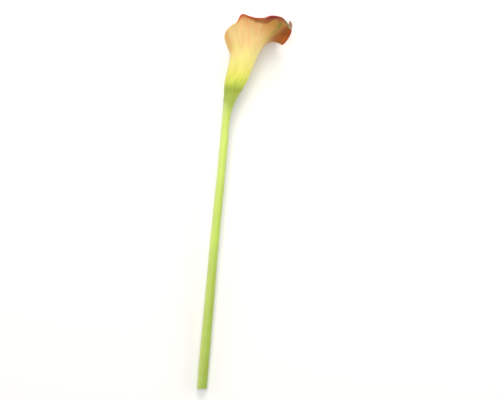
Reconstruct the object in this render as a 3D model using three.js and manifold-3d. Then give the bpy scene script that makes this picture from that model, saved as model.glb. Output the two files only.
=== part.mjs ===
// An arum lily flower picked with its stalk, lying on its side. Millimetres, +Z up.
// The flower is drawn with its tube along +Y and the side that shows turned to +Z, and is then
// tipped a few degrees until it rests on three low points: the cut end of the stalk and two
// lobes of the spathe's margin. The origin is at the bottom, below the middle of its box.

import * as THREE from 'three';
import { LoftGeometry } from 'three/addons/geometries/LoftGeometry.js';
import { mergeVertices } from 'three/addons/utils/BufferGeometryUtils.js';
import Module from 'manifold-3d';

// The round body from the cut end up to the throat: height, middle across, radius
const bodyLine = [
  [-217, -21.5, 3.75],
  [-150, -15.8, 3.5],
  [-90, -10.4, 3.2],
  [-34, -5, 3],
  [-15, -3.3, 3.05],
  [-7, -2, 3.6],
  [0, 0.1, 5.1],
  [3, 1.1, 5.75],
  [10, 3.4, 7.65],
  [21, 7.1, 8.9],
  [31, 10.25, 9.9],
  [40, 13.2, 10.6],
];

// The free margin of the spathe, round the mouth from the inner seam edge to the outer one:
// azimuth and roll in degrees, reach from the middle of the mouth, height, and how long the
// limb keeps the direction that it has at the margin
const margin = [
  [-165, 9.9, 33, 95, 2.5],
  [-150, 11.7, 39, 82, 4],
  [-136, 15.6, 43.8, 64, 6],
  [-124, 20, 48, 42, 7.5],
  [-112, 21.9, 52.2, 22, 9],
  [-100, 20, 55.4, 16, 9.5],
  [-86, 19.1, 58, 12, 9.5],
  [-72, 19.6, 59, 4, 10],
  [-58, 22.6, 58.4, -12, 10],
  [-46, 26.9, 56.4, -24, 10],
  [-32, 27.4, 50.8, -30, 10],
  [-18, 27.2, 43.6, -30, 10.5],
  [-4, 28, 39.9, -33, 11],
  [4, 30.9, 42.5, -41, 11.5],
  [11, 33.8, 46, -48, 12],
  [19, 35.9, 49.8, -55, 12.9],
  [25, 34.3, 52.8, -50, 12.4],
  [31, 32.8, 56.6, -38, 11.5],
  [36, 31.4, 57.6, -30, 9.5],
  [45, 29, 58.5, -15, 7.5],
  [57.5, 26, 56.8, -22, 5.5],
  [72.6, 23, 56.9, -20, 5],
  [82, 21.2, 58, 0, 5],
  [99, 19.4, 59.6, 35, 6],
  [110, 17.5, 55.2, 48, 6.5],
  [122, 16.5, 53.7, 55, 7.5],
  [150, 16, 50.1, 64, 6.5],
  [169, 15.7, 46.9, 68, 5.5],
  [184, 15.5, 43.7, 70, 5],
  [200, 14.6, 39.2, 76, 4],
  [214, 13, 34.6, 84, 3],
  [228, 11.7, 29.5, 90, 2.5],
];

const mouthMiddle = 11;
const throatHeight = 30.8;
const limbAtSeam = 7; // the limb keeps this much height where the margin runs down to the seam
const throatSoftness = 3; // how gently the throat comes down to the seam
const throatHandle = 10;
const handleLimit = 0.4; // of the rib's length
const tubeShare = 0.42; // of the rows, the share below the throat
const levelBase = 0.08; // up to this share of the rows the wall turns from level to square on
const seamStart = -165;
const seamEnd = 228;
const seamEndAtBase = 246;
const seamSlant = 1.5;
const layerStep = 1.7; // how much wider the spiral gets from the inner seam edge to the outer
const wallAtBase = 1.15;
const wallAtLimb = 0.85;
const wallAtMargin = 0.65;
const thinning = { rows: 0.12, columns: 0.05 }; // shares over which the wall thins to its edges
const marginRounding = 0.3; // of the wall
const spatheColumns = 66;
const columnCrowding = { at: 0.49, by: 0.5 }; // columns crowd towards the tip of the limb
const spatheRows = 26;

const stemTop = 2.7;
const spatheBase = 3;
const stemSides = 24;
const stemShoulder = 0.4;

// The point leaves the margin as a narrow strip that runs down just beside it, then hooks up
const tipAlongMargin = [36, 32, 28, 24.5, 21.5]; // azimuths
const tipBeside = 0.4;
const tipHook = [[44.6, 51.7, 12.6], [44.6, 52.8, 12.4], [44.3, 54.4, 12.3], [43.9, 56.2, 12.4]];
// share of the route, radius: the point grows out of the wall thinly and ends thinly
const tipRadii = [[0, 0.35], [0.2, 0.5], [0.5, 0.62], [0.68, 0.6], [0.82, 0.8], [1, 0.35]];
const tipSides = 10;
const tipSteps = 16;

const spadixTop = 38;
const spadixRadius = 2.75;
const spadixFoot = { share: 0.8, height: 3 }; // narrower at its foot
const spadixDome = { height: 5.5, above: 0.3 };
const spadixSides = 40;
const fruitZoneTop = 12.5; // seed-bearing florets below, pollen florets above
const fruitFloret = { pitch: 2.1, around: 7, relief: 0.45, rings: 4 };
const pollenFloret = { pitch: 1.35, around: 11, relief: 0.26, rings: 3 };

// How the flower is tipped and moved to rest: degrees, then millimetres
const lying = { pitch: 3.669, roll: 1.938, x: -10.479, y: 78.054, z: 16.901 };

// A smooth curve through rows of a table whose first column rises, read at any value of it
function along(rows, at, column) {
  const last = rows.length - 1;
  const x = Math.min(Math.max(at, rows[0][0]), rows[last][0]);
  let i = 0;
  while (i < last - 1 && x > rows[i + 1][0]) i++;
  const secant = (k) => (rows[k + 1][column] - rows[k][column]) / (rows[k + 1][0] - rows[k][0]);
  const slope = (k) => {
    if (k === 0) return secant(0);
    if (k === last) return secant(last - 1);
    const before = rows[k][0] - rows[k - 1][0];
    const after = rows[k + 1][0] - rows[k][0];
    return (secant(k - 1) * after + secant(k) * before) / (before + after);
  };
  const width = rows[i + 1][0] - rows[i][0];
  const t = (x - rows[i][0]) / width;
  return (1 + 2 * t) * (1 - t) ** 2 * rows[i][column]
    + t * (1 - t) ** 2 * width * slope(i)
    + t * t * (3 - 2 * t) * rows[i + 1][column]
    + t * t * (t - 1) * width * slope(i + 1);
}

const radians = THREE.MathUtils.degToRad;

function onBody(azimuth, height, radius) {
  const a = radians(azimuth);
  return new THREE.Vector3(
    along(bodyLine, height, 1) + radius * Math.cos(a), height, radius * Math.sin(a));
}

// The stalk: level rings down the body line, with a rounded shoulder under the spathe
function stemGeometry() {
  const heights = [-217, -190, -160, -130, -105, -80, -58, -40, -28, -20, -14, -10, -7, -4.5, -2, 0];
  const rings = heights.map((y) => [y, along(bodyLine, y, 2)]);
  rings.push([stemTop - stemShoulder, along(bodyLine, stemTop - stemShoulder, 2)]);
  rings.push([stemTop, along(bodyLine, stemTop, 2) - stemShoulder]);
  const sections = rings.map(([y, radius]) => Array.from({ length: stemSides }, (_, k) =>
    onBody(-360 * k / stemSides, y, radius)));
  return new LoftGeometry(sections, { capStart: true, capEnd: true });
}

// The spadix: a finger of florets on the tube's own axis, with their heads as a relief
function spadixGeometry() {
  const heights = [];
  for (let y = spatheBase; y < fruitZoneTop; y += fruitFloret.pitch / fruitFloret.rings) heights.push(y);
  for (let y = fruitZoneTop; y < spadixTop; y += pollenFloret.pitch / pollenFloret.rings) heights.push(y);
  const sections = heights.map((y) => {
    const kind = y < fruitZoneTop ? fruitFloret : pollenFloret;
    const left = Math.min((spadixTop + spadixDome.above - y) / spadixDome.height, 1);
    const dome = Math.sqrt(1 - (1 - left) ** 2);
    const foot = Math.min(
      THREE.MathUtils.mapLinear(y, spatheBase, spatheBase + spadixFoot.height, spadixFoot.share, 1), 1);
    return Array.from({ length: spadixSides }, (_, k) => {
      const azimuth = -360 * k / spadixSides;
      const wave = Math.cos(kind.around * radians(azimuth))
        * Math.cos(Math.PI * (y - fruitZoneTop) / kind.pitch);
      return onBody(azimuth, y, (spadixRadius * foot - kind.relief * (1 - wave) / 2) * dome);
    });
  });
  return new LoftGeometry(sections, { capStart: true, capEnd: true });
}

// The outer face of the spathe: u runs round it from seam to seam, v from its base to its margin.
// Up to the throat it is a slowly widening spiral tube; above, each rib is one cubic curve.
function onSpathe(u, v) {
  const low = Math.min(v / tubeShare, 1);
  const end = seamEnd + (seamEndAtBase - seamEnd) * (1 - low) ** seamSlant;
  const azimuth = seamStart + u * (end - seamStart);
  const wrap = layerStep * ((azimuth - seamStart) / (seamEnd - seamStart) - 0.5);
  const [reach, top, roll, handle] = [1, 2, 3, 4].map((column) => along(margin, azimuth, column));
  const free = top - limbAtSeam;
  const throat = (throatHeight + free - Math.hypot(throatHeight - free, throatSoftness)) / 2;
  const tube = (height) => onBody(azimuth, height, along(bodyLine, height, 2) + wrap);
  if (v <= tubeShare) return tube(spatheBase + (throat - spatheBase) * low);

  const a = radians(azimuth);
  const outwards = new THREE.Vector3(Math.cos(a), 0, Math.sin(a));
  const up = new THREE.Vector3(0, 1, 0);
  const start = tube(throat);
  const justBelow = tube(throat - 0.5);
  const rising = start.clone().sub(justBelow).normalize();
  const rim = outwards.clone().multiplyScalar(reach).addScaledVector(up, top);
  rim.x += mouthMiddle;
  const startHandle = Math.min(throatHandle, handleLimit * rim.distanceTo(start));
  const rolled = rim.clone()
    .addScaledVector(outwards, -handle * Math.cos(radians(roll)))
    .addScaledVector(up, -handle * Math.sin(radians(roll)));
  const rib = new THREE.CubicBezierCurve3(
    start, start.clone().addScaledVector(rising, startHandle), rolled, rim);
  return rib.getPoint((v - tubeShare) / (1 - tubeShare));
}

function wallAt(u, v) {
  const wall = v < tubeShare
    ? THREE.MathUtils.lerp(wallAtBase, wallAtLimb, v / tubeShare)
    : wallAtLimb;
  const fromMargin = Math.min(
    (1 - v) / thinning.rows, u / thinning.columns, (1 - u) / thinning.columns);
  return THREE.MathUtils.lerp(wallAtMargin, wall, THREE.MathUtils.smoothstep(fromMargin, 0, 1));
}

// Across the wall at one place: the outer face, the inner face and the way out of the wall
function acrossWall(u, v) {
  const near = 1e-3;
  const [u0, u1] = [Math.max(u - near, 0), Math.min(u + near, 1)];
  const [v0, v1] = [Math.max(v - near, 0), Math.min(v + near, 1)];
  const round = onSpathe(u1, v).sub(onSpathe(u0, v));
  const rising = onSpathe(u, v1).sub(onSpathe(u, v0));
  const outwards = rising.clone().cross(round).normalize();
  outwards.y *= Math.min(v / levelBase, 1);
  const outer = onSpathe(u, v);
  const inner = outer.clone().addScaledVector(outwards, -wallAt(u, v));
  return { outer, inner, rising: rising.normalize() };
}

// One closed sheet: each column is a loop up the outer face, over the margin and down the inner
// face, and the two faces are split into triangles alike, so that they never cross
function sheetGeometry() {
  const rows = spatheRows;
  const loop = 2 * rows + 3;
  const points = [];
  const wave = (share) => Math.sin(2 * Math.PI * (share - columnCrowding.at)) / (2 * Math.PI);
  for (let i = 0; i <= spatheColumns; i++) {
    const share = i / spatheColumns;
    const u = share - columnCrowding.by * (wave(share) - wave(0));
    const column = Array.from({ length: rows + 1 }, (_, j) => acrossWall(u, j / rows));
    const edge = column[rows];
    const middle = edge.outer.clone().add(edge.inner).multiplyScalar(0.5);
    middle.addScaledVector(edge.rising, marginRounding * wallAtMargin);
    points.push(...column.map((place) => place.outer), middle);
    points.push(...column.reverse().map((place) => place.inner));
  }
  const faces = [];
  for (let i = 0; i < spatheColumns; i++) {
    for (let k = 0; k < loop; k++) {
      const next = (k + 1) % loop;
      const [a, b, c, d] = [i * loop + k, i * loop + next, (i + 1) * loop + next, (i + 1) * loop + k];
      if (k <= rows) faces.push([a, b, d], [b, c, d]);
      else faces.push([a, b, c], [a, c, d]);
    }
  }
  const seam = (column, turn) => {
    const at = (k) => column * loop + k;
    const put = (a, b, c) => faces.push(turn ? [a, c, b] : [a, b, c]);
    for (let k = 0; k < rows; k++) {
      put(at(k), at(loop - 1 - k), at(loop - 2 - k));
      put(at(k), at(loop - 2 - k), at(k + 1));
    }
    put(at(rows), at(rows + 2), at(rows + 1));
  };
  seam(0, false);
  seam(spatheColumns, true);
  const geometry = new THREE.BufferGeometry();
  geometry.setAttribute('position', new THREE.Float32BufferAttribute(points.flatMap((p) => p.toArray()), 3));
  geometry.setIndex(faces.flat());
  return geometry;
}

// The stiff point at the end of the midrib, turned up like a small hook
function tipGeometry() {
  const besideMargin = tipAlongMargin.map((azimuth) => {
    const { outer, inner, rising } = acrossWall((azimuth - seamStart) / (seamEnd - seamStart), 1);
    return outer.add(inner).multiplyScalar(0.5).addScaledVector(rising, tipBeside);
  });
  const hook = tipHook.map((p) => new THREE.Vector3(...p));
  const route = new THREE.CatmullRomCurve3([...besideMargin, ...hook]);
  const sections = [];
  for (let step = 0; step <= tipSteps; step++) {
    const t = step / tipSteps;
    const middle = route.getPoint(t);
    const ahead = route.getTangent(t);
    const side = new THREE.Vector3(0, 0, 1).cross(ahead).normalize();
    const front = ahead.clone().cross(side);
    const radius = along(tipRadii, t, 1);
    sections.push(Array.from({ length: tipSides }, (_, k) => {
      const a = 2 * Math.PI * k / tipSides;
      return middle.clone()
        .addScaledVector(side, radius * Math.cos(a))
        .addScaledVector(front, radius * Math.sin(a));
    }));
  }
  return new LoftGeometry(sections, { capStart: true, capEnd: true });
}

const wasm = await Module();
wasm.setup();

function solidOf(geometry) {
  const bare = new THREE.BufferGeometry().copy(geometry);
  bare.deleteAttribute('normal');
  bare.deleteAttribute('uv');
  const merged = mergeVertices(bare, 1e-4);
  return new wasm.Manifold(new wasm.Mesh({
    numProp: 3,
    vertProperties: merged.attributes.position.array,
    triVerts: new Uint32Array(merged.index.array),
  }));
}

function geometryOf(solid) {
  const { vertProperties, triVerts } = solid.getMesh();
  const geometry = new THREE.BufferGeometry();
  geometry.setAttribute('position', new THREE.BufferAttribute(vertProperties, 3));
  geometry.setIndex(new THREE.BufferAttribute(triVerts, 1));
  return geometry;
}

function part(name, geometry, color, roughness) {
  const mesh = new THREE.Mesh(geometry, new THREE.MeshStandardMaterial({ color, roughness, metalness: 0 }));
  mesh.name = name;
  return mesh;
}

const flower = new THREE.Group();
flower.add(part('stem', stemGeometry(), 0xb7cf5a, 0.45));
flower.add(part('spathe', geometryOf(solidOf(sheetGeometry()).add(solidOf(tipGeometry()))), 0xf2c478, 0.5));
flower.add(part('spadix', spadixGeometry(), 0xe6b83a, 0.75));
flower.rotation.set(radians(lying.pitch), radians(lying.roll), 0);
flower.position.set(lying.x, lying.y, lying.z);

const group = new THREE.Group();
group.add(flower);
export default group;
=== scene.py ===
# The looks of a picked arum lily flower that lies on its side: stalk, spathe and spadix.
# The forms are worked out in the flower's own frame, in millimetres and degrees, with the tube
# along +Y and the side that shows turned to +Z, and are then tipped to rest as the solids are.
# An azimuth goes round the tube, from 0 at +X to 90 at +Z.

import math

import bpy
import numpy as np
from mathutils import Matrix, Vector


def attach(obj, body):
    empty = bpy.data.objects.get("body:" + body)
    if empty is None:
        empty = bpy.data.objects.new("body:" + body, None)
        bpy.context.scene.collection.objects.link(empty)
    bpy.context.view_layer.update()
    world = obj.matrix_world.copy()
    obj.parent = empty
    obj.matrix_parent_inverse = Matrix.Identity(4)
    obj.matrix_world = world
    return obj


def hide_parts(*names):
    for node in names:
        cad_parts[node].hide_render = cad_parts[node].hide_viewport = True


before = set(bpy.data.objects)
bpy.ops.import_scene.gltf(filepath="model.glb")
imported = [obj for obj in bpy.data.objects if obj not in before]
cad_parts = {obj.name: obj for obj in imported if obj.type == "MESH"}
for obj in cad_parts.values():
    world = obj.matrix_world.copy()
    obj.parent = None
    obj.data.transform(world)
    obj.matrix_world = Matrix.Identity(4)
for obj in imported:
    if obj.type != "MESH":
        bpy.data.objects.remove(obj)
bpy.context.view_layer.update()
print("frame loaded:", sorted(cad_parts))

lying = {"pitch": 3.669, "roll": 1.938, "x": -10.479, "y": 78.054, "z": 16.901}  # degrees, mm
toRest = (
    Matrix.Scale(0.001, 4)
    @ Matrix.Translation((lying["x"], lying["y"], lying["z"]))
    @ Matrix.Rotation(math.radians(lying["pitch"]), 4, "X")
    @ Matrix.Rotation(math.radians(lying["roll"]), 4, "Y")
)

# The round body from the cut end up to the throat: height, middle across, radius
bodyLine = [
    (-217, -21.5, 3.75), (-150, -15.8, 3.5), (-90, -10.4, 3.2), (-34, -5, 3), (-15, -3.3, 3.05),
    (-7, -2, 3.6), (0, 0.1, 5.1), (3, 1.1, 5.75), (10, 3.4, 7.65), (21, 7.1, 8.9),
    (31, 10.25, 9.9), (40, 13.2, 10.6),
]

# The spathe's free margin, from the inner seam edge round to the outer one:
# azimuth, reach from the middle of the mouth, height, roll, handle
margin = [
    (-165, 9.9, 33, 95, 2.5), (-150, 11.7, 39, 82, 4), (-136, 15.6, 43.8, 64, 6),
    (-124, 20, 48, 42, 7.5), (-112, 21.9, 52.2, 22, 9), (-100, 20, 55.4, 16, 9.5),
    (-86, 19.1, 58, 12, 9.5), (-72, 19.6, 59, 4, 10), (-58, 22.6, 58.4, -12, 10),
    (-46, 26.9, 56.4, -24, 10), (-32, 27.4, 50.8, -30, 10), (-18, 27.2, 43.6, -30, 10.5),
    (-4, 28, 39.9, -33, 11), (4, 30.9, 42.5, -41, 11.5), (11, 33.8, 46, -48, 12),
    (19, 35.9, 49.8, -55, 12.9), (25, 34.3, 52.8, -50, 12.4), (31, 32.8, 56.6, -38, 11.5),
    (36, 31.4, 57.6, -30, 9.5), (45, 29, 58.5, -15, 7.5), (57.5, 26, 56.8, -22, 5.5),
    (72.6, 23, 56.9, -20, 5), (82, 21.2, 58, 0, 5), (99, 19.4, 59.6, 35, 6),
    (110, 17.5, 55.2, 48, 6.5), (122, 16.5, 53.7, 55, 7.5), (150, 16, 50.1, 64, 6.5),
    (169, 15.7, 46.9, 68, 5.5), (184, 15.5, 43.7, 70, 5), (200, 14.6, 39.2, 76, 4),
    (214, 13, 34.6, 84, 3), (228, 11.7, 29.5, 90, 2.5),
]

uvLength = 100  # mm of surface in one unit of a piece's "ribs" map
noiseSpan = {"From Min": 0.3, "From Max": 0.7}  # a noise's values seldom leave it
lineSpan = {"From Min": 0.35, "From Max": 0.65}  # the same for a noise drawn out into lines


# A smooth curve through rows of a table whose first column rises, read at any value of it
def along(rows, at, column):
    table = np.array(rows, float)
    x, y = table[:, 0], table[:, column]
    width = np.diff(x)
    secant = np.diff(y) / width
    slope = np.concatenate((
        secant[:1], (secant[:-1] * width[1:] + secant[1:] * width[:-1]) / (width[1:] + width[:-1]),
        secant[-1:]))
    at = np.clip(at, x[0], x[-1])
    i = np.clip(np.searchsorted(x, at, side="right") - 1, 0, len(x) - 2)
    t = (at - x[i]) / width[i]
    return ((1 + 2 * t) * (1 - t) ** 2 * y[i] + t * (1 - t) ** 2 * width[i] * slope[i]
            + t * t * (3 - 2 * t) * y[i + 1] + t * t * (t - 1) * width[i] * slope[i + 1])


def smoothstep(low, high, value):
    t = np.clip((value - low) / (high - low), 0, 1)
    return t * t * (3 - 2 * t)


def onBody(azimuth, height, radius):
    a = np.radians(azimuth)
    middle = along(bodyLine, height, 1)
    return np.stack(np.broadcast_arrays(middle + radius * np.cos(a), height, radius * np.sin(a)), -1)


def unit(vectors):
    return vectors / np.maximum(np.linalg.norm(vectors, axis=-1, keepdims=True), 1e-9)


# An sRGB hex colour as linear shares of red, green, blue and alpha
def linear(hexColour):
    shares = [int(hexColour[i:i + 2], 16) / 255 for i in (1, 3, 5)]
    return [s / 12.92 if s <= 0.04045 else ((s + 0.055) / 1.055) ** 2.4 for s in shares] + [1]


# Adds a node: settings by property or by socket, and links into its sockets, from a socket or
# from a node's first one
def addNode(tree, kind, settings=None, links=None):
    node = tree.nodes.new(kind)
    for key, value in (settings or {}).items():
        if key == "stops":
            stops = node.color_ramp.elements
            stops.remove(stops[1])
            for number, (place, colour) in enumerate(value):
                stop = stops.new(place) if number else stops[0]
                stop.position = place
                stop.color = linear(colour)
        elif isinstance(key, int) or key in node.inputs:
            node.inputs[key].default_value = value
        else:
            setattr(node, key, value)
    for key, source in (links or {}).items():
        isSocket = isinstance(source, bpy.types.NodeSocket)
        tree.links.new(source if isSocket else source.outputs[0], node.inputs[key])
    return node


def newMaterial(name):
    material = bpy.data.materials.new(name)
    material.use_nodes = True
    material.node_tree.nodes.clear()
    return material, material.node_tree


# Noise in lines along the ribs, with cells of this size in mm across and along them
def addLines(tree, uv, cell, settings):
    drawnOut = addNode(tree, "ShaderNodeMapping", {
        "Scale": (uvLength / cell[0], uvLength / cell[1], 1)}, {"Vector": uv})
    return addNode(tree, "ShaderNodeTexNoise", {"noise_dimensions": "2D", "Scale": 1, **settings},
                   {"Vector": drawnOut})


# A colour that a noise makes lighter and darker
def addShade(tree, colour, noise, span, shades):
    shade = addNode(tree, "ShaderNodeMapRange", {**span, "To Min": shades[0], "To Max": shades[1]},
                    {"Value": noise})
    return addNode(tree, "ShaderNodeVectorMath", {"operation": "SCALE"}, {0: colour, "Scale": shade})


# A colour over the one under it, by the product of two shares
def addTint(tree, under, colour, share, mask):
    product = addNode(tree, "ShaderNodeMath", {"operation": "MULTIPLY"}, {0: share, 1: mask})
    return addNode(tree, "ShaderNodeMix", {"data_type": "RGBA", 7: linear(colour)},
                   {0: product, 6: under}).outputs[2]


# A few small flecks over a colour
def addFlecks(tree, under, place, finish):
    flecks = addNode(tree, "ShaderNodeTexVoronoi", {"Scale": 1000 / finish["fleckSpacing"]},
                     {"Vector": place})
    isFleck = addNode(tree, "ShaderNodeMapRange", {
        "From Min": finish["fleckSize"][0], "From Max": finish["fleckSize"][1],
        "To Min": finish["fleckShare"], "To Max": 0}, {"Value": flecks})
    return addNode(tree, "ShaderNodeMix", {"data_type": "RGBA", 7: linear(finish["fleck"])},
                   {0: isFleck, 6: under}).outputs[2]


# The end of a material's tree: uneven gloss if it has that, relief and shader
def addSurface(tree, finish, colour, relief, gloss=None):
    links = {"Base Color": colour}
    if gloss:
        low, high = finish["roughness"]
        links["Roughness"] = addNode(tree, "ShaderNodeMapRange", {
            **noiseSpan, "To Min": low, "To Max": high}, {"Value": gloss})
    links["Normal"] = addNode(tree, "ShaderNodeBump", finish["bump"], {"Height": relief})
    shader = addNode(tree, "ShaderNodeBsdfPrincipled", finish["surface"], links)
    addNode(tree, "ShaderNodeOutputMaterial", {}, {"Surface": shader})


# One closed mesh in the row frame from points in the flower's frame, with values at its points
def newPiece(name, points, faces, values, uv, material):
    mesh = bpy.data.meshes.new(name)
    mesh.from_pydata(points.tolist(), [], faces)
    mesh.transform(toRest)
    for key, numbers in values.items():
        mesh.attributes.new(key, "FLOAT", "POINT").data.foreach_set(
            "value", np.asarray(numbers, np.float32))
    corners = np.empty(len(mesh.loops), int)
    mesh.loops.foreach_get("vertex_index", corners)
    mesh.uv_layers.new(name="ribs").data.foreach_set("uv", uv[corners].astype(np.float32).ravel())
    mesh.polygons.foreach_set("use_smooth", np.ones(len(mesh.polygons), bool))
    mesh.materials.append(material)
    mesh.update()
    piece = bpy.data.objects.new(name, mesh)
    bpy.context.scene.collection.objects.link(piece)
    return piece


# Faces between neighbouring rings of points, with both ends closed
def tubeFaces(rings, sides):
    faces = []
    for ring in range(rings - 1):
        for side in range(sides):
            a = ring * sides + side
            b = ring * sides + (side + 1) % sides
            faces.append((a, b, b + sides, a + sides))
    faces.append(tuple(reversed(range(sides))))
    faces.append(tuple(range((rings - 1) * sides, rings * sides)))
    return faces


# The spathe: one sheet, rolled into a tube below and flared into a limb above. A pair of numbers
# says where something starts and where it is full, as a share of the way from base to margin or,
# where a comment says so, in mm or degrees

spathe = {
    "base": 1.2, "throatHeight": 30.8, "limbAtSeam": 7, "throatSoftness": 3, "throatHandle": 10,
    "throatStep": 0.5, "handleLimit": 0.4, "mouthMiddle": 11, "tubeShare": 0.42, "round": 65,
    "seamStart": -165, "seamEnd": 228, "seamEndAtBase": 246, "seamSlant": 1.5,
    # how much wider the spiral gets from edge to edge, and by which share of the tube
    "layerStep": 1.7, "layerStepAtBase": 1.15, "layerStepFull": 0.6,
    "seamTuck": 0.35, "seamTuckWidth": 0.05,  # the outer seam edge lies down on the layer below
    "footTuck": 0.2, "footShare": 0.06,  # the foot dips into the stalk's skin
    "wallAtBase": 0.75, "wallAtLimb": 0.85, "wallGrows": (0.1, 0.4),
    "wallAtMargin": 0.55, "rimWidth": 4, "rounding": 0.34,
    # columns are closest on the side with the point, and steps are fine at the edges
    "columns": 290, "closestAt": 0.49, "closeness": 0.5, "edgeColumns": (0.0006, 0.0018),
    "tubeRows": 44, "limbRows": 66, "lastEvenRow": 0.988, "edgeRows": (0.992, 0.995, 0.9975, 0.9992, 1),
    # waves round it, radians a mm up the ribs, phase, share
    "swells": [(3, 0.11, 0, 1), (5, -0.17, 1.3, 1), (9, 0.23, 2.1, 0.6)],
    "swellHeight": 0.28, "swellShares": 2.6, "swellRises": (0.12, 0.75),
    "pleats": {"count": 26, "height": 0.05, "rises": (0.05, 0.3), "sway": 1.6, "swayWaves": 2,
               "fade": 0.4, "fadeWaves": 7},
    "midrib": {
        "azimuth": 19.3, "turn": 9.7, "turnFrom": 0.76, "width": 1.3, "height": 0.3,
        "rises": (0.05, 0.5),
        "zoneWidth": 3.6, "zoneRises": (0.35, 0.65),
        # its green end: mm from the margin where it comes in and where it fades, and by how much
        "endRises": (4.5, 7.5), "endFades": (9, 14), "endFade": 0.45,
    },
    # marks the two faces for the material: 0 on the outer one, this on the free edge, 1 inside
    "edgeMark": 0.5, "innerAbove": 0.75,
    # azimuths over which a colour of the limb comes in and goes out
    "colourSpans": {
        "limb": ((-190, -180), (98, 118)), "flush": ((-50, -8), (6, 28)), "hump": ((20, 27), (47, 60)),
        "leftLobe": ((98, 114), (146, 160)), "leftSide": ((136, 158), (250, 260)),
        "tipFlap": ((4, 11), (15, 21)), "tipSide": ((22, 29), (35, 41)), "maroon": ((28, 34), (44, 54)),
        "coral": ((22, 32), (102, 115)), "flap": ((-38, -8), (22, 32)),
    },
    "limbFrom": (14, 36),  # mm up the ribs
    # azimuth, how far in from the margin the brown and the painted shade under the raised rim reach
    "brownReach": [(26, -1), (31, 4.6), (35, 8.8), (40, 11), (46, 10.4), (50, 9.5), (56, 8), (62, 6.9),
                   (68, 6.1), (75, 4.6), (84, 3), (92, -1)],
    "rimInside": (0.8, 2.4),  # mm, where the dark rim fades out on the inner face
}


def spatheAzimuth(u, v):
    s = spathe
    low = np.minimum(v / s["tubeShare"], 1)
    end = s["seamEnd"] + (s["seamEndAtBase"] - s["seamEnd"]) * (1 - low) ** s["seamSlant"]
    return s["seamStart"] + u * (end - s["seamStart"])


# How far the rolled sheet stands out from the body line, as a spiral does
def layerOut(azimuth, u, low):
    s = spathe
    wider = smoothstep(0, s["layerStepFull"], low)
    step = s["layerStepAtBase"] + (s["layerStep"] - s["layerStepAtBase"]) * wider
    wrap = step * ((azimuth - s["seamStart"]) / (s["seamEnd"] - s["seamStart"]) - 0.5)
    return wrap - s["seamTuck"] * smoothstep(1 - s["seamTuckWidth"], 1, u)


# The sheet's outer face: u runs round it from seam to seam, v from its base to its margin
def onSpathe(u, v):
    u, v = np.broadcast_arrays(np.asarray(u, float), np.asarray(v, float))
    s = spathe
    low = np.minimum(v / s["tubeShare"], 1)
    azimuth = spatheAzimuth(u, v)
    wrap = layerOut(azimuth, u, low) - s["footTuck"] * (1 - smoothstep(0, s["footShare"], low))
    reach, top, roll, handle = (along(margin, azimuth, column) for column in (1, 2, 3, 4))
    free = top - s["limbAtSeam"]
    throat = (s["throatHeight"] + free - np.hypot(s["throatHeight"] - free, s["throatSoftness"])) / 2

    def tube(height):
        return onBody(azimuth, height, along(bodyLine, height, 2) + wrap)

    a = np.radians(azimuth)
    outwards = np.stack([np.cos(a), 0 * a, np.sin(a)], -1)
    up = np.array([0, 1, 0])
    start = tube(throat)
    rising = unit(start - tube(throat - s["throatStep"]))
    rim = outwards * reach[..., None] + up * top[..., None] + np.array([s["mouthMiddle"], 0, 0])
    span = np.linalg.norm(rim - start, axis=-1)
    second = start + rising * np.minimum(s["throatHandle"], s["handleLimit"] * span)[..., None]
    roll = np.radians(roll)[..., None]
    third = rim - handle[..., None] * (outwards * np.cos(roll) + up * np.sin(roll))
    t = np.clip((v - s["tubeShare"]) / (1 - s["tubeShare"]), 0, 1)[..., None]
    rib = ((1 - t) ** 3 * start + 3 * t * (1 - t) ** 2 * second + 3 * t * t * (1 - t) * third
           + t ** 3 * rim)
    isTube = (v <= s["tubeShare"])[..., None]
    return np.where(isTube, tube(s["base"] + (throat - s["base"]) * low), rib)


def spatheNormal(u, v):
    near = 1e-3
    around = onSpathe(np.minimum(u + near, 1), v) - onSpathe(np.maximum(u - near, 0), v)
    rising = onSpathe(u, np.minimum(v + near, 1)) - onSpathe(u, np.maximum(v - near, 0))
    return unit(np.cross(rising, around))


# Lengths in millimetres along the rows or columns of a grid of points
def lengths(grid, axis):
    steps = np.linalg.norm(np.diff(grid, axis=axis), axis=-1)
    return np.concatenate((np.zeros_like(np.take(steps, [0], axis)), np.cumsum(steps, axis)), axis)


def spatheGrid():
    s = spathe
    share = np.linspace(0, 1, s["columns"] + 1)
    at = s["closestAt"]
    wave = (np.sin(2 * np.pi * (share - at)) - np.sin(-2 * np.pi * at)) / (2 * np.pi)
    edge = np.array(s["edgeColumns"])
    columns = np.sort(np.concatenate((share - s["closeness"] * wave, edge, 1 - edge)))
    rows = np.concatenate((
        np.linspace(0, s["tubeShare"], s["tubeRows"], endpoint=False),
        np.linspace(s["tubeShare"], s["lastEvenRow"], s["limbRows"]), s["edgeRows"]))
    return np.meshgrid(columns, rows, indexing="ij")


# The two faces of a sheet over one grid: they share their points along the seam edges and the
# margin, and a strip closes the base
def sheetFaces(columns, rows):
    outer = np.arange(columns * rows).reshape(columns, rows)
    shared = np.zeros((columns, rows), bool)
    shared[0] = shared[-1] = shared[:, -1] = True
    inner = np.where(shared, outer, columns * rows + np.cumsum(~shared).reshape(columns, rows) - 1)
    faces = []
    for i in range(columns - 1):
        for j in range(rows - 1):
            faces.append((outer[i, j], outer[i, j + 1], outer[i + 1, j + 1], outer[i + 1, j]))
            faces.append((inner[i, j], inner[i + 1, j], inner[i + 1, j + 1], inner[i, j + 1]))
        faces.append((outer[i, 0], outer[i + 1, 0], inner[i + 1, 0], inner[i, 0]))
    return [tuple(int(corner) for corner in dict.fromkeys(face)) for face in faces], shared


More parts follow.
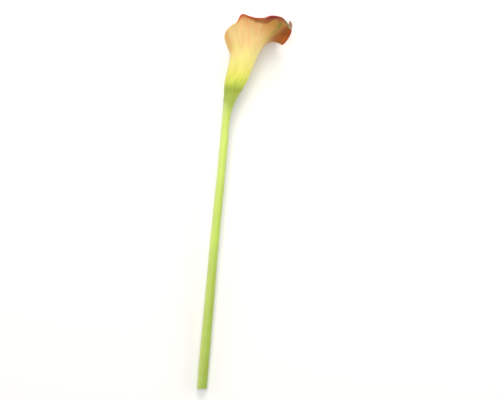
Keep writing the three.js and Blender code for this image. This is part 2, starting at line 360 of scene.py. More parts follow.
def spatheSheet():
    s = spathe
    u, v = spatheGrid()
    outer = onSpathe(u, v)
    normal = spatheNormal(u, v)
    azimuth = spatheAzimuth(u, v)
    turn = np.radians(azimuth)
    rise = lengths(outer, 1)
    across = lengths(outer, 0)
    toMargin = np.minimum(np.minimum(rise[:, -1:] - rise, across), across[-1:] - across)

    # a growing leaf is never even: long swells, soft pleats and a low midrib
    swell = sum(share * np.sin(waves * turn + climb * rise + phase)
                for waves, climb, phase, share in s["swells"]) / s["swellShares"]
    p = s["pleats"]
    pleats = np.sin(p["count"] * turn + p["sway"] * np.sin(p["swayWaves"] * turn))
    pleats = pleats * (1 - p["fade"] + p["fade"] * np.sin(p["fadeWaves"] * turn))
    m = s["midrib"]
    offMidrib = (np.radians(azimuth - (m["azimuth"] + m["turn"] * smoothstep(m["turnFrom"], 1, v)))
                 * np.linalg.norm(outer - onBody(0 * u, outer[..., 1], 0), axis=-1))
    midrib = np.exp(-(offMidrib / m["width"]) ** 2) * smoothstep(*m["rises"], v)
    midribZone = np.exp(-(offMidrib / m["zoneWidth"]) ** 2) * smoothstep(*m["zoneRises"], v)
    midribEnd = (midrib * smoothstep(*m["endRises"], toMargin)
                 * (1 - m["endFade"] * smoothstep(*m["endFades"], toMargin)))
    lift = (s["swellHeight"] * swell * smoothstep(*s["swellRises"], v)
            + p["height"] * pleats * smoothstep(*p["rises"], v))
    outer = outer + normal * lift[..., None]

    bare = s["wallAtBase"] + (s["wallAtLimb"] - s["wallAtBase"]) * smoothstep(*s["wallGrows"], v)
    wall = s["wallAtMargin"] + (bare - s["wallAtMargin"]) * smoothstep(0, s["rimWidth"], toMargin)
    nearEdge = 1 - np.clip(toMargin / s["rounding"], 0, 1)
    rounded = np.sqrt(1 - nearEdge ** 2)
    middle = outer - normal * (wall / 2)[..., None]
    half = normal * (rounded * wall / 2)[..., None]
    outerFace = middle + half + normal * (m["height"] * midrib)[..., None]
    innerFace = middle - half

    faces, shared = sheetFaces(*u.shape)

    def both(grid):
        return np.concatenate((grid.reshape(-1, *grid.shape[2:]), grid[~shared]))

    points = np.concatenate((outerFace.reshape(-1, 3), innerFace[~shared]))
    inner = np.concatenate((np.where(shared, s["edgeMark"], 0).ravel(), np.ones((~shared).sum())))
    onLimb = smoothstep(*s["limbFrom"], rise)
    spans = {
        name: both(onLimb * smoothstep(*begins, azimuth) * (1 - smoothstep(*ends, azimuth)))
        for name, (begins, ends) in s["colourSpans"].items()}
    spans["maroon"] *= 1 - (inner > s["innerAbove"]) * smoothstep(*s["rimInside"], both(toMargin))
    values = {
        "rise": both(rise), "toMargin": both(toMargin), "inner": inner, "midribEnd": both(midribEnd),
        "midribZone": both(midribZone), "brownReach": both(along(s["brownReach"], azimuth, 1)),
        **spans, "point": np.zeros(len(points)),
    }
    uv = np.stack([both(u * s["round"]), both(rise)], -1) / uvLength
    return points, faces, values, uv


# The stiff point at the end of the midrib: it leaves the limb's margin as a narrow rolled strip,
# runs down beside it and ends in a hook that turns up
cusp = {
    # azimuths along which it hugs the margin, and how far it stands out of it there
    "margin": [(36, -0.25), (32, 0.1), (28, 0.38), (24.5, 0.55), (21.5, 0.55)],
    "underMargin": 0.99,
    "hook": [(44.6, 51.7, 12.6), (44.6, 52.8, 12.4), (44.3, 54.4, 12.3), (43.9, 56.2, 12.4)],
    # share of the route, half width, half thickness
    "radii": [(0, 0.05, 0.05), (0.1, 0.24, 0.24), (0.24, 0.5, 0.4), (0.4, 0.75, 0.48),
              (0.56, 0.82, 0.5), (0.68, 0.82, 0.48), (0.82, 1.3, 0.4), (0.93, 1, 0.32), (1, 0.3, 0.15)],
    "rings": 70, "sides": 20,
    "mark": 0.001,  # over 0 from its start on, for the material
    "mapPlace": (0.5, 0.7), "mapLength": 0.1,  # its strip on the ribs map
}


def cuspTube():
    c = cusp
    azimuths, standsOut = np.array(c["margin"], float).T
    u = (azimuths - spathe["seamStart"]) / (spathe["seamEnd"] - spathe["seamStart"])
    onMargin = onSpathe(u, 1) - spatheNormal(u, 1 + 0 * u) * spathe["wallAtMargin"] / 2
    outOfIt = unit(onSpathe(u, 1) - onSpathe(u, c["underMargin"]))
    route = np.concatenate((onMargin + outOfIt * standsOut[:, None], c["hook"]))
    gone = np.concatenate(([0], np.cumsum(np.linalg.norm(np.diff(route, axis=0), axis=1))))
    stations = np.column_stack((gone / gone[-1], route))
    t = np.linspace(0, 1, c["rings"])
    middle = np.stack([along(stations, t, column) for column in (1, 2, 3)], -1)
    ahead = unit(np.gradient(middle, axis=0))
    side = unit(np.cross(np.array([0, 0, 1]), ahead))
    front = np.cross(ahead, side)
    a = -np.linspace(0, 2 * np.pi, c["sides"], endpoint=False)
    width = along(c["radii"], t, 1)[:, None, None]
    thickness = along(c["radii"], t, 2)[:, None, None]
    points = (middle[:, None] + side[:, None] * np.cos(a)[:, None] * width
              + front[:, None] * np.sin(a)[:, None] * thickness).reshape(-1, 3)
    share = np.repeat(t, c["sides"])
    mapAcross, mapFrom = c["mapPlace"]
    uv = np.stack([mapAcross + 0 * share, mapFrom + c["mapLength"] * share], -1)
    return points, tubeFaces(c["rings"], c["sides"]), {"point": c["mark"] + share}, uv


# Waxy bract tissue: satin, a little see-through, with fine ribs that run from base to margin and
# faint streaks between them. The outer face is green at the foot, then yellow and peach, a brown
# orange flush partly made of painted shade on the side with the point, brown with painted shade
# under the raised rim and coral at the margin, with a dark line on its very edge. The inner face
# is coral, golden deeper down and green in the tube
spatheFinish = {
    # share of 100 mm up the ribs
    "outside": [(0.01, "#a8b94d"), (0.028, "#a2b448"), (0.05, "#9cad45"), (0.075, "#adbc4c"),
                (0.1, "#c4cf54"), (0.15, "#dbd95f"), (0.2, "#e2d96e"), (0.26, "#e5da80"),
                (0.35, "#e4d486"), (0.42, "#e5cb85"), (0.5, "#e4c483"), (0.58, "#e8bb77"),
                (0.66, "#d9955a"), (0.78, "#cb7037")],
    # share of 100 mm in from the margin
    "inside": [(0, "#a8553f"), (0.02, "#b9745a"), (0.05, "#ba654b"), (0.13, "#c5553c"),
               (0.22, "#d06c3e"), (0.32, "#dc9549"), (0.42, "#deb353"), (0.55, "#cab850"),
               (0.7, "#a6ae48"), (0.85, "#8b9a41")],
    "tongues": 0.09,  # how unevenly those colours climb
    # colour, noise from none to full, mm up the ribs from none to full, strength
    "streaks": [("#eb9f72", (0.47, 0.68), (20, 44), 0.2), ("#a7b849", (0.52, 0.36), (30, 12), 0.4)],
    # the brown-orange flush on the side with the point is partly pigment and partly painted shade on
    # its bend, which turns away from the light
    # colour, where round the spathe, between which heights up the ribs it comes in (mm), strength
    "climbing": [("#f1da94", "leftLobe", (38, 46), 0.6), ("#e6a850", "leftSide", (26, 36), 0.45),
                 ("#c9983a", "hump", (48, 60), 0.55), ("#a65306", "flush", (37, 56), 0.88),
                 ("#d2ab58", "midribZone", (34, 56), 0.6), ("#75882f", "midribEnd", (40, 56), 0.6)],
    # brown pigment with painted shade under the raised rim: colour, strength, and its fade in mm
    "brownAndPaintedShade": "#99440e", "brownAndPaintedShadeShare": 0.78, "brownAndPaintedShadeFade": 2.8,  # mm
    # colour, where round the spathe, between which distances from the margin it fades (mm), strength,
    # first on the outer face alone, then on both
    "outerBorders": [("#df8f3f", "limb", (0.3, 3.6), 0.5), ("#b55f4a", "tipSide", (6, 8.5), 0.62),
                     ("#953f06", "tipFlap", (4.5, 9), 0.55)],
    "borders": [("#c94722", "coral", (0.7, 3), 0.74), ("#b84a18", "flap", (0.4, 2.2), 0.75),
                ("#9c3328", "coral", (0.1, 0.7), 0.45), ("#9f3c1f", "flap", (0.1, 0.7), 0.5),
                ("#93302a", "maroon", (4.6, 6), 0.92)],
    "wander": 0.5,  # mm by which the borders stray
    "point": [(0, "#86242c"), (0.1, "#8f3a31"), (0.24, "#8a6a48"), (0.38, "#868659"), (0.62, "#8f8c60"),
              (0.7, "#8f7a5f"), (0.8, "#96705e"), (0.92, "#9a695d"), (1, "#86504c")],
    # mm, the cells of each noise, across and along the ribs or all ways; about three grains fill one
    "vein": (0.9, 25), "band": (2, 16.667), "blotch": 9.091, "grain": 1.05,
    "grainShare": 0.25, "veinShade": (0.965, 1.03), "roughness": (0.4, 0.55),
    # mm apart; a size is a share of that, from its full middle to its end
    "fleck": "#8a5a2c", "fleckSpacing": 9, "fleckSize": (0.03, 0.07), "fleckShare": 0.45,
    "bump": {"Strength": 0.35, "Distance": 0.00012},
    "surface": {"IOR": 1.42, "Subsurface Weight": 0.4, "Subsurface Radius": (1, 0.55, 0.22),
                "Subsurface Scale": 0.0016, "Specular IOR Level": 0.22},
}


def makeSpatheMaterial():
    finish = spatheFinish
    material, tree = newMaterial("waxy spathe tissue")
    names = ("rise", "toMargin", "inner", "midribEnd", "midribZone", "brownReach", "point",
             *spathe["colourSpans"])
    here = {
        name: addNode(tree, "ShaderNodeAttribute", {"attribute_name": name}).outputs["Fac"]
        for name in names}
    uv = addNode(tree, "ShaderNodeUVMap", {"uv_map": "ribs"})
    place = addNode(tree, "ShaderNodeTexCoord").outputs["Object"]

    # veins along the ribs, broad soft bands, and slow changes of tone
    veins = addLines(tree, uv, finish["vein"], {"Detail": 3, "Roughness": 0.6})
    bands = addLines(tree, uv, finish["band"], {"Detail": 2})
    blotches = addNode(tree, "ShaderNodeTexNoise", {
        "Scale": 1000 / finish["blotch"], "Detail": 3, "Roughness": 0.55}, {"Vector": place})
    grain = addNode(tree, "ShaderNodeTexNoise", {"Scale": 1000 / finish["grain"], "Detail": 2},
                    {"Vector": place})

    # the outer face changes colour up the ribs, in uneven tongues; the span is that of both noises
    tongues = addNode(tree, "ShaderNodeMath", {"operation": "ADD"}, {0: blotches, 1: bands})
    tongueHeight = addNode(tree, "ShaderNodeMapRange", {
        "From Min": 0.7, "From Max": 1.3, "To Min": (1 - finish["tongues"]) / uvLength,
        "To Max": (1 + finish["tongues"]) / uvLength}, {"Value": tongues})
    riseShare = addNode(tree, "ShaderNodeMath", {"operation": "MULTIPLY"},
                        {0: here["rise"], 1: tongueHeight})
    layered = addNode(tree, "ShaderNodeValToRGB", {"stops": finish["outside"]}, {0: riseShare})

    # faint streaks: green ones climb out of the foot, pink ones come in as the tube widens
    for colour, (noiseFrom, noiseFull), (riseFrom, riseFull), strength in finish["streaks"]:
        streaky = addNode(tree, "ShaderNodeMapRange", {
            "From Min": noiseFrom, "From Max": noiseFull, "To Max": strength}, {"Value": bands})
        upTube = addNode(tree, "ShaderNodeMapRange", {"From Min": riseFrom, "From Max": riseFull},
                         {"Value": here["rise"]})
        layered = addTint(tree, layered, colour, streaky, upTube)

    # colours over the one below, each where it belongs and full at one end of its span
    def laidOver(layered, colours, length, fullAt):
        for colour, span, (near, far), strength in colours:
            share = addNode(tree, "ShaderNodeMapRange", {
                "interpolation_type": "SMOOTHSTEP", "From Min": near, "From Max": far,
                "To Max": 0, fullAt: strength}, {"Value": length})
            layered = addTint(tree, layered, colour, share, here[span])
        return layered

    # the limb's left is paler and golden, the side with the point is flushed brown orange, partly with
    # painted shade, over its bend, and the midrib carries the tube's green up into that
    layered = laidOver(layered, finish["climbing"], here["rise"], "To Max")

    # a brown band lies under the raised rim, partly pigment and partly painted shade where the rolled
    # rim turns its face from the light
    wander = addNode(tree, "ShaderNodeMapRange", {
        **noiseSpan, "To Min": -finish["wander"], "To Max": finish["wander"]}, {"Value": blotches})
    edgeAt = addNode(tree, "ShaderNodeMath", {"operation": "ADD"}, {0: here["toMargin"], 1: wander})
    brownAndPaintedShadeLeft = addNode(tree, "ShaderNodeMath", {"operation": "SUBTRACT"},
                        {0: here["brownReach"], 1: edgeAt})
    brownAndPaintedShadeShare = addNode(tree, "ShaderNodeMapRange", {
        "interpolation_type": "SMOOTHSTEP", "From Max": finish["brownAndPaintedShadeFade"],
        "To Max": finish["brownAndPaintedShadeShare"]}, {"Value": brownAndPaintedShadeLeft})
    layered = addNode(tree, "ShaderNodeMix", {"data_type": "RGBA", 7: linear(finish["brownAndPaintedShade"])},
                      {0: brownAndPaintedShadeShare, 6: layered}).outputs[2]

    # towards the margin the outer face turns orange, then both faces coral or dark
    insideShare = addNode(tree, "ShaderNodeMath", {"operation": "MULTIPLY"},
                          {0: here["toMargin"], 1: tongueHeight})
    inside = addNode(tree, "ShaderNodeValToRGB", {"stops": finish["inside"]}, {0: insideShare})
    onInner = addNode(tree, "ShaderNodeMath", {
        "operation": "GREATER_THAN", 1: spathe["innerAbove"]}, {0: here["inner"]})
    layered = laidOver(layered, finish["outerBorders"], edgeAt, "To Min")
    layered = addNode(tree, "ShaderNodeMix", {"data_type": "RGBA"},
                      {0: onInner, 6: layered, 7: inside}).outputs[2]
    layered = laidOver(layered, finish["borders"], edgeAt, "To Min")

    flecked = addFlecks(tree, layered, place, finish)
    veined = addShade(tree, flecked, veins, lineSpan, finish["veinShade"])
    pointColour = addNode(tree, "ShaderNodeValToRGB", {"stops": finish["point"]}, {0: here["point"]})
    onPoint = addNode(tree, "ShaderNodeMath", {"operation": "GREATER_THAN", 1: 0}, {0: here["point"]})
    colour = addNode(tree, "ShaderNodeMix", {"data_type": "RGBA"},
                     {0: onPoint, 6: veined, 7: pointColour}).outputs[2]
    relief = addNode(tree, "ShaderNodeMath", {"operation": "MULTIPLY_ADD", 1: finish["grainShare"]},
                     {0: grain, 2: veins})
    addSurface(tree, finish, colour, relief, blotches)
    return material


# The limb and its point as one mesh; a value that a part lacks is 0 there
def joined(parts):
    points, faces, values, uvs = [], [], [], []
    for part in parts:
        first = sum(len(p) for p in points)
        points.append(part[0])
        faces += [tuple(corner + first for corner in face) for face in part[1]]
        values.append(part[2])
        uvs.append(part[3])
    together = {
        key: np.concatenate([v.get(key, np.zeros(len(p))) for v, p in zip(values, points)])
        for key in values[0]}
    return np.concatenate(points), faces, together, np.concatenate(uvs)


spathePiece = newPiece("spatheLimb", *joined([spatheSheet(), cuspTube()]), makeSpatheMaterial())
print("spathe:", len(spathePiece.data.polygons), "faces")


# The stalk: a round, slightly ribbed stem with its cut end, tucked into the spathe's foot

stalk = {
    "cutEnd": -217, "bevel": 0.35, "dish": 0.3, "round": 20, "sides": 96,
    "shaftTo": -12, "shaftRings": 170, "neckRingsFrom": -11.3, "neckRings": 24,
    "dishRings": (0.02, 0.2, 0.4, 0.6, 0.78, 0.9, 0.955),  # shares of the radius
    "edgeRings": [(0, 0.12, 0.9), (0.12, 0.02, 0.3)],  # up, in, how much flesh shows
    "ribs": 11, "ribHeight": 0.05, "ribSway": 0.9,
    "bends": [(0.071, 1, 0, 0.07), (0.163, -2, 1, 0.042)],  # radians a mm, waves round, phase, height
    "flare": (-9, 1),  # heights between which it takes on the spathe's own spiral
    "seamEase": 0.03,  # share of a turn in which it steps down beside the outer seam
    "underSpathe": 0.06,
    # hidden in the spathe's foot: a shoulder (up, in), a collar, a rounded top
    "neckTop": 3, "shoulder": [(0.06, 0.1), (0.1, 1)], "collarIn": 1, "collarTop": 3.6,
    "collarTaper": 0.1, "capHeight": 0.9, "capRings": (0.8, 0.55, 0.3, 0.05),
    # the azimuth that the painted light faces, and the heights over which the painted light and shade
    # fade out under the spathe
    "paintedLightAzimuth": 165, "paintedLightFade": (-6, 0.5),
}


def stalkRadius(azimuth, height):
    s = stalk
    start, end = spathe["seamStart"], spathe["seamEndAtBase"]
    past = (azimuth - end) % 360  # how far it is past the outer seam edge
    outermost = end - 360 + past
    seamEdge = layerOut(end, 1, 0)
    wrap = layerOut(outermost, (outermost - start) / (end - start), 0)
    wrap = seamEdge + (wrap - seamEdge) * smoothstep(0, s["seamEase"], past / 360)
    turn = np.radians(azimuth)
    uneven = s["ribHeight"] * np.sin(s["ribs"] * turn + s["ribSway"] * np.sin(2 * turn))
    for climb, waves, phase, out in s["bends"]:
        uneven = uneven + out * np.sin(climb * height + waves * turn + phase)
    flare = smoothstep(*s["flare"], height)
    return along(bodyLine, height, 2) + uneven * (1 - flare) + (wrap - s["underSpathe"]) * flare


def stalkTube():
    s = stalk
    azimuth = -np.linspace(0, 360, s["sides"], endpoint=False)
    rings, cut = [], []

    def ring(height, radius, isCut=0.0):
        rings.append(onBody(azimuth, height + 0 * azimuth, radius))
        cut.append(np.full(s["sides"], isCut))

    bottom = stalkRadius(azimuth, s["cutEnd"])
    for share in s["dishRings"]:
        ring(s["cutEnd"] + s["dish"] * (1 - (share / s["dishRings"][-1]) ** 4), bottom * share, 1)
    for up, inwards, isCut in s["edgeRings"]:
        ring(s["cutEnd"] + up, bottom - inwards, isCut)
    for height in np.concatenate((
            np.linspace(s["cutEnd"] + s["bevel"], s["shaftTo"], s["shaftRings"]),
            np.linspace(s["neckRingsFrom"], s["neckTop"], s["neckRings"]))):
        ring(height, stalkRadius(azimuth, height))
    neck = stalkRadius(azimuth, s["neckTop"])
    for up, inwards in s["shoulder"]:
        ring(s["neckTop"] + up, neck - inwards)
    collar = neck - s["collarIn"]
    ring(s["collarTop"], collar - s["collarTaper"])
    for share in s["capRings"]:
        ring(s["collarTop"] + s["capHeight"] * (1 - share ** 2), collar * share)
    points = np.concatenate(rings)
    height = points[:, 1]
    across = np.tile(np.abs(azimuth) / 360, len(rings))
    # where round the stalk the painted light and the painted shade fall
    side = np.tile(np.cos(np.radians(azimuth - s["paintedLightAzimuth"])), len(rings))
    side *= 1 - smoothstep(*s["paintedLightFade"], height)
    values = {"height": height, "cut": np.concatenate(cut), "side": side}
    uv = np.stack([across * s["round"], height], -1) / uvLength
    return points, tubeFaces(len(rings), s["sides"]), values, uv


# Smooth waxy stalk skin, yellow-green, painted paler on one side and a deeper green on the other as
# painted light and painted shade, with faint lengthwise lines and a few small brown flecks;
# the cut end shows wet, pale flesh with the ends of its strands
stalkFinish = {
    # from the cut end to the neck
    "skin": [(0, "#9ab045"), (0.3, "#a9c04c"), (0.62, "#b9d155"), (0.86, "#c4da60"), (0.93, "#bbce5b"),
             (0.945, "#b2c655"), (0.96, "#a9bd4f"), (0.98, "#a4b64c"), (1, "#a2b34b")],
    # painted light and shade: one side, 1, is painted paler as if lit, and the other, -1, a deeper
    # green
    # as if shaded: colour, where it starts and is full, strength
    "sides": [("#dfec90", (0.2, 1), 0.5), ("#8aa542", (0, -0.9), 0.5)],
    "line": (0.5882, 33.333), "blotch": 16.667,  # mm, cells of noise
    "lineShade": (0.95, 1.04), "tone": (0.94, 1.05), "roughness": (0.3, 0.42),
    # mm apart; a size is a share of that, from its full middle to its end
    "fleck": "#8b8a42", "fleckSpacing": 8, "fleckSize": (0.03, 0.06), "fleckShare": 0.4,
    "flesh": "#cfdca0",
    "strand": "#8fa45a", "strandSpacing": 0.62, "strandSize": (0.12, 0.34), "strandShare": 0.65,
    "bump": {"Strength": 0.3, "Distance": 0.0001},
    "surface": {"IOR": 1.42, "Subsurface Weight": 0.25, "Subsurface Radius": (0.7, 1, 0.25),
                "Subsurface Scale": 0.0015},
}


def makeStalkMaterial():
    finish = stalkFinish
    material, tree = newMaterial("waxy stalk skin")
    height, cut, side = (
        addNode(tree, "ShaderNodeAttribute", {"attribute_name": name}).outputs["Fac"]
        for name in ("height", "cut", "side"))
    uv = addNode(tree, "ShaderNodeUVMap", {"uv_map": "ribs"})
    place = addNode(tree, "ShaderNodeTexCoord").outputs["Object"]
    lines = addLines(tree, uv, finish["line"], {"Detail": 3})
    blotches = addNode(tree, "ShaderNodeTexNoise", {"Scale": 1000 / finish["blotch"], "Detail": 3},
                       {"Vector": place})

    heightShare = addNode(tree, "ShaderNodeMapRange", {
        "From Min": stalk["cutEnd"], "From Max": stalk["neckTop"]}, {"Value": height})
    skin = addNode(tree, "ShaderNodeValToRGB", {"stops": finish["skin"]}, {0: heightShare})
    # one side painted paler as painted light, the other a deeper green as painted shade
    for colour, (start, full), strength in finish["sides"]:
        share = addNode(tree, "ShaderNodeMapRange", {
            "From Min": start, "From Max": full, "To Max": strength}, {"Value": side})
        skin = addNode(tree, "ShaderNodeMix", {"data_type": "RGBA", 7: linear(colour)},
                       {0: share, 6: skin}).outputs[2]
    lined = addShade(tree, skin, lines, lineSpan, finish["lineShade"])
    toned = addShade(tree, lined, blotches, noiseSpan, finish["tone"])
    flecked = addFlecks(tree, toned, place, finish)

    # the ends of the strands are seen end on, across the cut
    endOn = addNode(tree, "ShaderNodeMapping", {"Rotation": (math.pi / 2, 0, 0)}, {"Vector": place})
    strands = addNode(tree, "ShaderNodeTexVoronoi", {
        "voronoi_dimensions": "2D", "Scale": 1000 / finish["strandSpacing"], "Randomness": 0.8},
        {"Vector": endOn})
    isStrand = addNode(tree, "ShaderNodeMapRange", {
        "From Min": finish["strandSize"][0], "From Max": finish["strandSize"][1],
        "To Min": finish["strandShare"], "To Max": 0}, {"Value": strands})
    flesh = addNode(tree, "ShaderNodeMix", {
        "data_type": "RGBA", 6: linear(finish["flesh"]), 7: linear(finish["strand"])}, {0: isStrand})
    colour = addNode(tree, "ShaderNodeMix", {"data_type": "RGBA"},
                     {0: cut, 6: flecked, 7: flesh.outputs[2]}).outputs[2]
    addSurface(tree, finish, colour, lines, blotches)
    return material


stalkPiece = newPiece("stalk", *stalkTube(), makeStalkMaterial())
print("stalk:", len(stalkPiece.data.polygons), "faces")


# The spadix: a finger of florets in a close spiral, seed-bearing ones below, pollen ones above

spadix = {
    "foot": 2.6, "top": 37.9, "radius": 2.55, "domeHeight": 5.5, "fruitTop": 12.5,
    "coreIn": 0.35, "coreFirst": 0.3, "coreSides": 48, "coreRings": 60,
    "firstFruit": 0.5, "fruitIn": 0.25, "zoneGap": 0.3, "tipGap": 0.02,
    "fruit": {"Florets": 62, "Size": 0.98, "Flatness": 0.8, "Seed": 3},
    "pollen": {"Florets": 640, "Size": 0.56, "Flatness": 0.75, "Seed": 8},
    # shares of a floret's size
    "slitWidth": 0.55, "slitDepth": 0.35, "smallest": 0.86, "largest": 1.1,
    "upturn": 2.5,  # how far the florets turn upwards over the dome
}


# Florets on a golden-angle spiral round a finger that stands on the origin, along +Z, in mm
def makeFloretTree(material):
    s = spadix
    tree = bpy.data.node_groups.new("florets in a spiral", "GeometryNodeTree")
    inputs = {
        "Florets": "Int", "Size": "Float", "Flatness": "Float", "From": "Float", "To": "Float",
        "Top": "Float", "Radius": "Float", "Dome": "Float", "Seed": "Int"}
    for name, kind in inputs.items():
        tree.interface.new_socket(name, in_out="INPUT", socket_type="NodeSocket" + kind)
    tree.interface.new_socket("Geometry", in_out="OUTPUT", socket_type="NodeSocketGeometry")
    given = addNode(tree, "NodeGroupInput").outputs

    index = addNode(tree, "GeometryNodeInputIndex")
    height = addNode(tree, "ShaderNodeMapRange", {}, {
        "Value": index, "From Max": given["Florets"], "To Min": given["From"], "To Max": given["To"]})

    # over the dome the seats draw in and turn upwards
    domeFoot = addNode(tree, "ShaderNodeMath", {"operation": "SUBTRACT"},
                       {0: given["Top"], 1: given["Dome"]})
    upDome = addNode(tree, "ShaderNodeMapRange", {}, {
        "Value": height, "From Min": domeFoot, "From Max": given["Top"]})
    domeAngle = addNode(tree, "ShaderNodeMath", {"operation": "ARCSINE"}, {0: upDome})
    narrowing = addNode(tree, "ShaderNodeMath", {"operation": "COSINE"}, {0: domeAngle})
    radius = addNode(tree, "ShaderNodeMath", {"operation": "MULTIPLY"},
                     {0: given["Radius"], 1: narrowing})
    upturn = addNode(tree, "ShaderNodeMath", {"operation": "MULTIPLY", 1: s["upturn"]}, {0: upDome})
    goldenAngle = math.pi * (3 - math.sqrt(5))
    turn = addNode(tree, "ShaderNodeMath", {"operation": "MULTIPLY", 1: goldenAngle}, {0: index})
    seat = addNode(tree, "ShaderNodeCombineXYZ", {}, {0: radius, 2: height})
    place = addNode(tree, "ShaderNodeVectorRotate", {"rotation_type": "Z_AXIS"},
                    {"Vector": seat, "Angle": turn})
    away = addNode(tree, "ShaderNodeCombineXYZ", {}, {0: radius, 2: upturn})
    outwards = addNode(tree, "ShaderNodeVectorRotate", {"rotation_type": "Z_AXIS"},
                       {"Vector": away, "Angle": turn})
    seats = addNode(tree, "GeometryNodePoints", {}, {"Count": given["Florets"], "Position": place})
    kept = addNode(tree, "GeometryNodeStoreNamedAttribute", {
        "data_type": "FLOAT", "domain": "POINT", "Name": "height"},
        {"Geometry": seats, "Value": height})

    # each floret is a small ball with a slit across its head
    head = addNode(tree, "GeometryNodeMeshIcoSphere", {"Radius": 1, "Subdivisions": 2})
    at = addNode(tree, "ShaderNodeSeparateXYZ", {}, {0: addNode(tree, "GeometryNodeInputPosition")})
    fromSlit = addNode(tree, "ShaderNodeMath", {"operation": "ABSOLUTE"}, {0: at})
    depth = addNode(tree, "ShaderNodeMapRange", {
        "interpolation_type": "SMOOTHSTEP", "From Max": s["slitWidth"], "To Min": -s["slitDepth"],
        "To Max": 0}, {"Value": fromSlit})
    onHead = addNode(tree, "ShaderNodeMath", {"operation": "MAXIMUM", 1: 0}, {0: at.outputs[2]})
    slit = addNode(tree, "ShaderNodeMath", {"operation": "MULTIPLY"}, {0: depth, 1: onHead})
    dent = addNode(tree, "ShaderNodeCombineXYZ", {}, {2: slit})
    dented = addNode(tree, "GeometryNodeSetPosition", {}, {"Geometry": head, "Offset": dent})

    # and stands on its seat, turned and sized by chance
    turned = addNode(tree, "FunctionNodeAlignRotationToVector", {"axis": "Z"}, {"Vector": outwards})
    spin = addNode(tree, "FunctionNodeRandomValue", {"data_type": "FLOAT", 2: 0, 3: math.tau},
                   {"Seed": given["Seed"]})
    spun = addNode(tree, "FunctionNodeAxisAngleToRotation", {"Axis": (0, 0, 1)},
                   {"Angle": spin.outputs[1]})
    facing = addNode(tree, "FunctionNodeRotateRotation", {"rotation_space": "LOCAL"},
                     {0: turned, 1: spun})
    vary = addNode(tree, "FunctionNodeRandomValue", {
        "data_type": "FLOAT", 2: s["smallest"], 3: s["largest"]}, {"Seed": given["Seed"]})
    size = addNode(tree, "ShaderNodeMath", {"operation": "MULTIPLY"},
                   {0: given["Size"], 1: vary.outputs[1]})
    thickness = addNode(tree, "ShaderNodeMath", {"operation": "MULTIPLY"},
                        {0: size, 1: given["Flatness"]})
    scale = addNode(tree, "ShaderNodeCombineXYZ", {}, {0: size, 1: size, 2: thickness})
    florets = addNode(tree, "GeometryNodeInstanceOnPoints", {}, {
        "Points": kept, "Instance": dented, "Rotation": facing, "Scale": scale})
    real = addNode(tree, "GeometryNodeRealizeInstances", {}, {0: florets})
    finished = addNode(tree, "GeometryNodeSetMaterial", {"Material": material}, {"Geometry": real})
    addNode(tree, "NodeGroupOutput", {}, {"Geometry": finished})
    return tree


# Bakes the tree with these inputs to a plain mesh
def bakeFlorets(tree, inputs):
    carrier = bpy.data.objects.new("florets", bpy.data.meshes.new("florets"))
    bpy.context.scene.collection.objects.link(carrier)
    modifier = carrier.modifiers.new("florets", "NODES")
    modifier.node_group = tree
    for socket in tree.interface.items_tree:
        if socket.in_out == "INPUT":
            modifier[socket.identifier] = inputs[socket.name]
    graph = bpy.context.evaluated_depsgraph_get()
    mesh = bpy.data.meshes.new_from_object(carrier.evaluated_get(graph))
    bpy.data.objects.remove(carrier)
    return mesh


# Mealy floret heads: greenish and moist below, matt yellow with pollen above
spadixFinish = {
    # from the foot to the top
    "heads": [(0, "#a9a843"), (0.2, "#b7b347"), (0.27, "#d3b53c"), (0.32, "#e3b533"), (0.8, "#ecbb3a"),
              (1, "#eec452")],
    "meal": 0.36, "blotch": 1.4286,  # mm, cells of noise
    "tone": (0.8, 1.1),
    "bump": {"Strength": 0.5, "Distance": 0.00005},
    "surface": {"Roughness": 0.78, "IOR": 1.4, "Subsurface Weight": 0.2,
                "Subsurface Radius": (1, 0.6, 0.2), "Subsurface Scale": 0.0006},
}


def makeSpadixMaterial():
    finish = spadixFinish
    material, tree = newMaterial("mealy florets")
    height = addNode(tree, "ShaderNodeAttribute", {"attribute_name": "height"}).outputs["Fac"]
    place = addNode(tree, "ShaderNodeTexCoord").outputs["Object"]
    meal, blotches = (
        addNode(tree, "ShaderNodeTexNoise", {"Scale": 1000 / finish[name], "Detail": detail},
                {"Vector": place})
        for name, detail in (("meal", 2), ("blotch", 1)))
    share = addNode(tree, "ShaderNodeMapRange", {"From Max": spadix["top"]}, {"Value": height})
    heads = addNode(tree, "ShaderNodeValToRGB", {"stops": finish["heads"]}, {0: share})
    toned = addShade(tree, heads, blotches, noiseSpan, finish["tone"])
    addSurface(tree, finish, toned, meal)
    return material


# The finger under the florets, rounded at its top
def makeCore(length, material):
    s = spadix
    angles = -np.linspace(0, 2 * np.pi, s["coreSides"], endpoint=False)
    heights = np.linspace(s["coreFirst"], length - s["coreIn"], s["coreRings"])
    rings = []
    for height in np.concatenate(([0], heights)):
        left = min((length - height) / s["domeHeight"], 1)
        radius = (s["radius"] - s["coreIn"]) * math.sqrt(1 - (1 - left) ** 2)
        rings.append(np.stack([
            radius * np.cos(angles), -radius * np.sin(angles), height + 0 * angles], -1))
    points = np.concatenate(rings)
    core = bpy.data.meshes.new("core")
    core.from_pydata(points.tolist(), [], tubeFaces(len(rings), s["coreSides"]))
    core.attributes.new("height", "FLOAT", "POINT").data.foreach_set(
        "value", points[:, 2].astype(np.float32))
    core.materials.append(material)
    return core


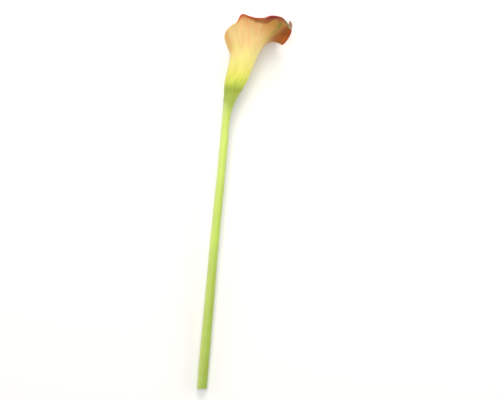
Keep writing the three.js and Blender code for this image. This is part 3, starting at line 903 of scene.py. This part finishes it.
def makeSpadix():
    s = spadix
    material = makeSpadixMaterial()
    tree = makeFloretTree(material)
    foot, head = (onBody(0, height, 0) for height in (s["foot"], s["top"]))
    length = float(np.linalg.norm(head - foot))
    fruitTo = (s["fruitTop"] - s["foot"]) * length / (s["top"] - s["foot"])
    shared = {"Top": length, "Radius": s["radius"], "Dome": s["domeHeight"]}
    zones = [
        {**shared, **s["fruit"], "From": s["firstFruit"], "To": fruitTo,
         "Radius": s["radius"] - s["fruitIn"]},
        {**shared, **s["pollen"], "From": fruitTo + s["zoneGap"], "To": length - s["tipGap"]},
    ]
    axis = Vector((head - foot).tolist()).normalized()
    stand = Matrix.Translation(foot.tolist()) @ axis.to_track_quat("Z", "Y").to_matrix().to_4x4()
    pieces = []
    for mesh in [makeCore(length, material)] + [bakeFlorets(tree, zone) for zone in zones]:
        mesh.transform(toRest @ stand)
        mesh.polygons.foreach_set("use_smooth", np.ones(len(mesh.polygons), bool))
        piece = bpy.data.objects.new("spadixFlorets", mesh)
        bpy.context.scene.collection.objects.link(piece)
        pieces.append(piece)
    with bpy.context.temp_override(active_object=pieces[0], selected_editable_objects=pieces):
        bpy.ops.object.join()
    return pieces[0]


spadixPiece = makeSpadix()
print("spadix:", len(spadixPiece.data.polygons), "faces")

for piece, node, slot in (
    (stalkPiece, "stem", "stalk"), (spathePiece, "spathe", "spathe"), (spadixPiece, "spadix", "spadix"),
):
    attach(piece, "root")
    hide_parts(node)


# Floor, light and camera, in metres

studio = {
    "floorSize": 6, "floorColour": "#f1f0ee", "floorRoughness": 0.85,
    "worldColour": "#ffffff", "worldStrength": 0.3,
    "lens": 105, "distance": 1.09, "middle": (0.004, 0.002, 0.012),
    # place, size, watts, colour
    "lights": {
        "key": ((0.05, 0.75, 0.75), 0.55, 6.6, "#fffaf2"),
        "overhead": ((-0.15, 0.1, 1.3), 0.7, 6, "#ffffff"),
        "leftFill": ((-0.9, 0.2, 0.4), 0.6, 2, "#ffffff"),
        "rightFill": ((0.9, 0.2, 0.4), 0.6, 3.9, "#ffffff"),
        "frontFill": ((0.1, -0.4, 1.1), 0.5, 1.2, "#ffffff"),
    },
}


def makeFloor():
    half = studio["floorSize"] / 2
    corners = [(-half, -half, 0), (half, -half, 0), (half, half, 0), (-half, half, 0)]
    mesh = bpy.data.meshes.new("floor")
    mesh.from_pydata(corners, [], [(0, 1, 2, 3)])
    material, tree = newMaterial("matt white board")
    shader = addNode(tree, "ShaderNodeBsdfPrincipled", {
        "Base Color": linear(studio["floorColour"]), "Roughness": studio["floorRoughness"]})
    addNode(tree, "ShaderNodeOutputMaterial", {}, {"Surface": shader})
    mesh.materials.append(material)
    floor = bpy.data.objects.new("floor", mesh)
    bpy.context.scene.collection.objects.link(floor)


def addLight(name, place, size, watts, colour):
    light = bpy.data.lights.new(name, "AREA")
    light.size = size
    light.energy = watts
    light.color = linear(colour)[:3]
    lamp = bpy.data.objects.new(name, light)
    lamp.location = place
    lamp.rotation_euler = (Vector(studio["middle"]) - Vector(place)).to_track_quat("-Z", "Y").to_euler()
    bpy.context.scene.collection.objects.link(lamp)


def makeWorld():
    world = bpy.data.worlds.new("soft sky")
    world.use_nodes = True
    background = world.node_tree.nodes["Background"]
    background.inputs["Color"].default_value = linear(studio["worldColour"])
    background.inputs["Strength"].default_value = studio["worldStrength"]
    bpy.context.scene.world = world


# Looks straight at the side that shows, as the photograph does, with the mouth at the top
def makeCamera():
    data = bpy.data.cameras.new("camera")
    data.lens = studio["lens"]
    camera = bpy.data.objects.new("camera", data)
    turn = toRest.to_3x3().normalized()
    place = Vector(studio["middle"]) + turn @ Vector((0, 0, studio["distance"]))
    camera.matrix_world = Matrix.Translation(place) @ turn.to_4x4()
    bpy.context.scene.collection.objects.link(camera)
    bpy.context.scene.camera = camera


makeFloor()
makeWorld()
for lightName, settings in studio["lights"].items():
    addLight(lightName, *settings)
makeCamera()
bpy.context.scene.view_settings.view_transform = "Standard"
print("floor, light and camera are set")
